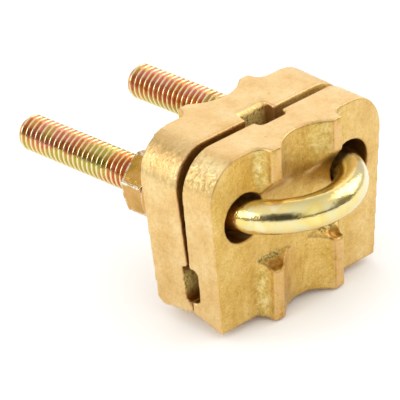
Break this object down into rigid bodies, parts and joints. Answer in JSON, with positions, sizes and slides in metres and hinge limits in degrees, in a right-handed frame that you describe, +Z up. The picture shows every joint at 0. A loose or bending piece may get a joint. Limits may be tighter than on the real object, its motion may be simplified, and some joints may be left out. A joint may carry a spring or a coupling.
{
  "type": "ground rod connector",
  "caption": "Ground rod clamp of ribbed cast plates with crossing cable grooves, drawn together on a threaded U-bolt by hexagon nuts over lock washers.",
  "frame": {"origin": "foot of the rod channel: mid-width, on the flat face of the front plate, at the level of the lowest rib feet", "axes": "+Z up along the ground rod, +Y from the rod towards the nuts, along the legs of the U-bolt, +X to the right seen from the rod"},
  "size_m": [0.0518, 0.0759, 0.0411],
  "materials": {
    "cast_brass": "tumbled sand casting, satin",
    "yellow_zinc": "yellow zinc plating, glossy"
  },
  "bodies": {
    "front_plate": {"front_plate": "cast_brass"},
    "back_plate": {"back_plate": "cast_brass"},
    "u_bolt": {"u_bolt": "yellow_zinc"},
    "left_nut": {"left_nut": "yellow_zinc", "left_lock_washer": "yellow_zinc"},
    "right_nut": {"right_nut": "yellow_zinc", "right_lock_washer": "yellow_zinc"}
  },
  "joints": [
    {"name": "back_plate_rock", "type": "hinge", "parent": "front_plate", "child": "back_plate", "pos_m": [0, 0.0081, 0.00376], "axis": [1, 0, 0], "range_deg": [0, 3.2]},
    {"name": "left_nut_spin", "type": "hinge", "parent": "front_plate", "child": "left_nut", "pos_m": [-0.0165, 0.025, 0.0257], "axis": [0, 1, 0], "range_deg": [0, 7560]},
    {"name": "right_nut_spin", "type": "hinge", "parent": "front_plate", "child": "right_nut", "pos_m": [0.0165, 0.025, 0.0257], "axis": [0, 1, 0], "range_deg": [0, 7560]},
    {"name": "u_bolt_draw", "type": "slide", "parent": "front_plate", "child": "u_bolt", "axis": [0, -1, 0], "range_m": [0, 0.0296]}
  ],
  "couplings": [
    {"joint": "left_nut_spin", "follows": "u_bolt_draw", "rad_per_m": 4452.7},
    {"joint": "right_nut_spin", "follows": "u_bolt_draw", "rad_per_m": 4452.7}
  ]
}
